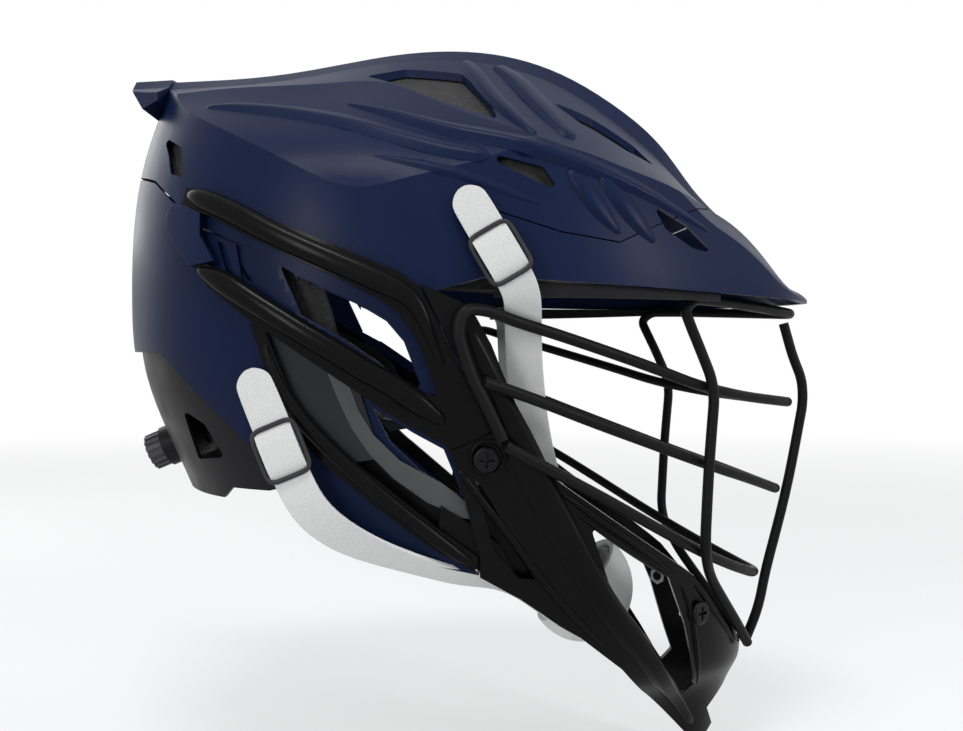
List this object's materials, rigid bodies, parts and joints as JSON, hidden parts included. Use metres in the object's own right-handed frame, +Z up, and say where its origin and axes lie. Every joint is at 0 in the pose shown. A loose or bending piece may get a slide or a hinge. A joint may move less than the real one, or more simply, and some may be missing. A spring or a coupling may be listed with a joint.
{
  "type": "lacrosse helmet",
  "caption": "Vented lacrosse helmet with peaked visor, wire face mask, chin guard, strap-held chin cup, padded liner and a dial-adjusted rear cradle.",
  "frame": {"origin": "middle point between the wearer's ears, inside the head space", "axes": "+X forward out of the face opening, +Y to the wearer's left, +Z up through the crown"},
  "size_m": [0.333, 0.234, 0.3342],
  "materials": {
    "shell_navy": "satin",
    "trim_black": "matt",
    "guard_black": "glossy",
    "panel_grey": "satin",
    "mask_wire": "satin powder coat",
    "screw_black": "satin",
    "nut_steel": "plain",
    "webbing": "woven",
    "buckle_grey": "matt",
    "cup_shell": "matt",
    "pad_foam": "soft knit",
    "liner_foam": "beaded foam",
    "fit_black": "satin",
    "dial_grey": "matt",
    "spindle_steel": "plain"
  },
  "bodies": {
    "helmet": {"chin_cup": "cup_shell", "chin_cup_pad": "pad_foam", "chin_guard": "guard_black", "chin_nuts": "nut_steel", "chin_screws": "screw_black", "cradle_bracket": "fit_black", "crown_pad": "pad_foam", "crown_shell": "shell_navy", "foam_liner": "liner_foam", "front_pad": "pad_foam", "front_strap_left": "webbing", "front_strap_right": "webbing", "jaw_pad_left": "pad_foam", "jaw_pad_right": "pad_foam", "jaw_panel_left": "panel_grey", "jaw_panel_right": "panel_grey", "mask_center_bar": "mask_wire", "mask_lower_bar": "mask_wire", "mask_middle_bar": "mask_wire", "mask_upper_bar": "mask_wire", "mask_upright_loop": "mask_wire", "rear_pad": "pad_foam", "rear_shell": "shell_navy", "rear_strap_left": "webbing", "rear_strap_right": "webbing", "side_frame_left": "guard_black", "side_frame_right": "guard_black", "side_nuts": "nut_steel", "side_pad_left": "pad_foam", "side_pad_right": "pad_foam", "side_screws": "screw_black", "visor": "shell_navy", "visor_trim": "trim_black"},
    "fit_cradle": {"fit_cradle": "fit_black", "cradle_pad": "pad_foam"},
    "fit_dial": {"dial_cap": "dial_grey", "dial_sleeve": "fit_black", "dial_spindle": "spindle_steel"},
    "front_buckle_left": {"front_strap_buckle_left": "buckle_grey"},
    "front_buckle_right": {"front_strap_buckle_right": "buckle_grey"},
    "rear_buckle_left": {"rear_strap_buckle_left": "buckle_grey"},
    "rear_buckle_right": {"rear_strap_buckle_right": "buckle_grey"}
  },
  "joints": [
    {"name": "cradle_slide", "type": "slide", "parent": "helmet", "child": "fit_cradle", "axis": [0.9225, 0, 0.386], "range_m": [0, 0.01]},
    {"name": "dial_turn", "type": "hinge", "parent": "helmet", "child": "fit_dial", "pos_m": [-0.0904, 0, -0.0504], "axis": [-0.9225, 0, -0.386], "range_deg": [0, 600]},
    {"name": "front_buckle_slide_left", "type": "slide", "parent": "helmet", "child": "front_buckle_left", "axis": [0.5061, 0.0522, -0.8609], "range_m": [-0.007, 0.007]},
    {"name": "front_buckle_slide_right", "type": "slide", "parent": "helmet", "child": "front_buckle_right", "axis": [0.5061, -0.0522, -0.8609], "range_m": [-0.007, 0.007]},
    {"name": "rear_buckle_slide_left", "type": "slide", "parent": "helmet", "child": "rear_buckle_left", "axis": [0.386, 0.0651, -0.9202], "range_m": [-0.01, 0.01]},
    {"name": "rear_buckle_slide_right", "type": "slide", "parent": "helmet", "child": "rear_buckle_right", "axis": [0.386, -0.0651, -0.9202], "range_m": [-0.01, 0.01]}
  ],
  "couplings": [
    {"joint": "dial_turn", "follows": "cradle_slide", "rad_per_m": 1047.2}
  ]
}
